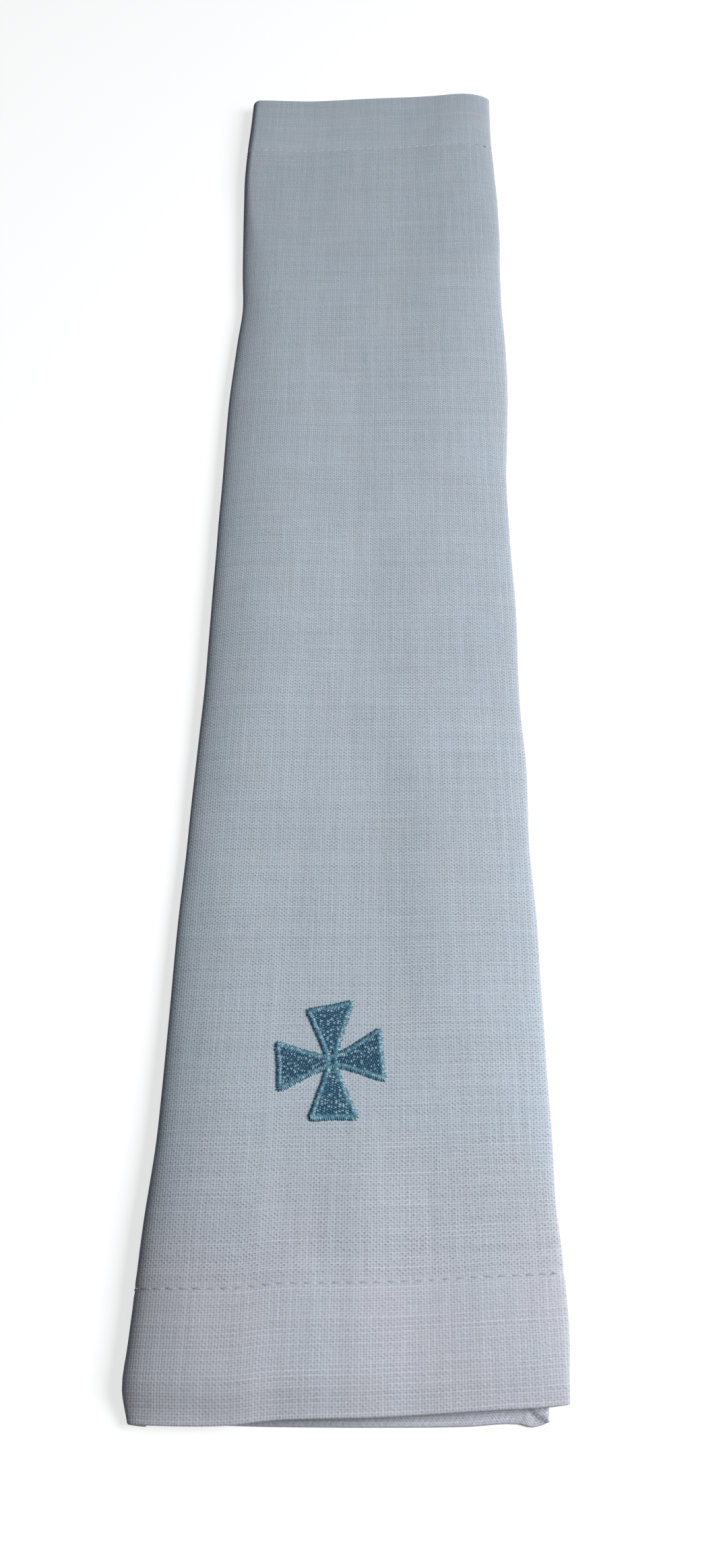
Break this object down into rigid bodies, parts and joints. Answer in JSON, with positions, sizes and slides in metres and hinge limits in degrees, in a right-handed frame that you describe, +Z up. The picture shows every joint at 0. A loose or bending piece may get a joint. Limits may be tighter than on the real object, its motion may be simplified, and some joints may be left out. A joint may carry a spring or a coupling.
{
  "type": "lavabo towel",
  "caption": "Long narrow white linen altar towel, folded in three along its length, with hemmed ends and an embroidered blue cross near one end.",
  "frame": {"origin": "centre of the bounding box, on the surface that the folded towel rests on", "axes": "+Y along the towel, away from the end with the cross; +X across it, towards the fold that overhangs the back panel's free edge; +Z up, out of the front panel"},
  "size_m": [0.1016, 0.5048, 0.0083],
  "materials": {
    "linen": "matt plain-weave linen, cool white",
    "embroidery_thread": "lustrous machine-embroidery thread, blue-green"
  },
  "bodies": {
    "root": {"towel": "linen", "embroidered_cross": "embroidery_thread"}
  },
  "joints": []
}
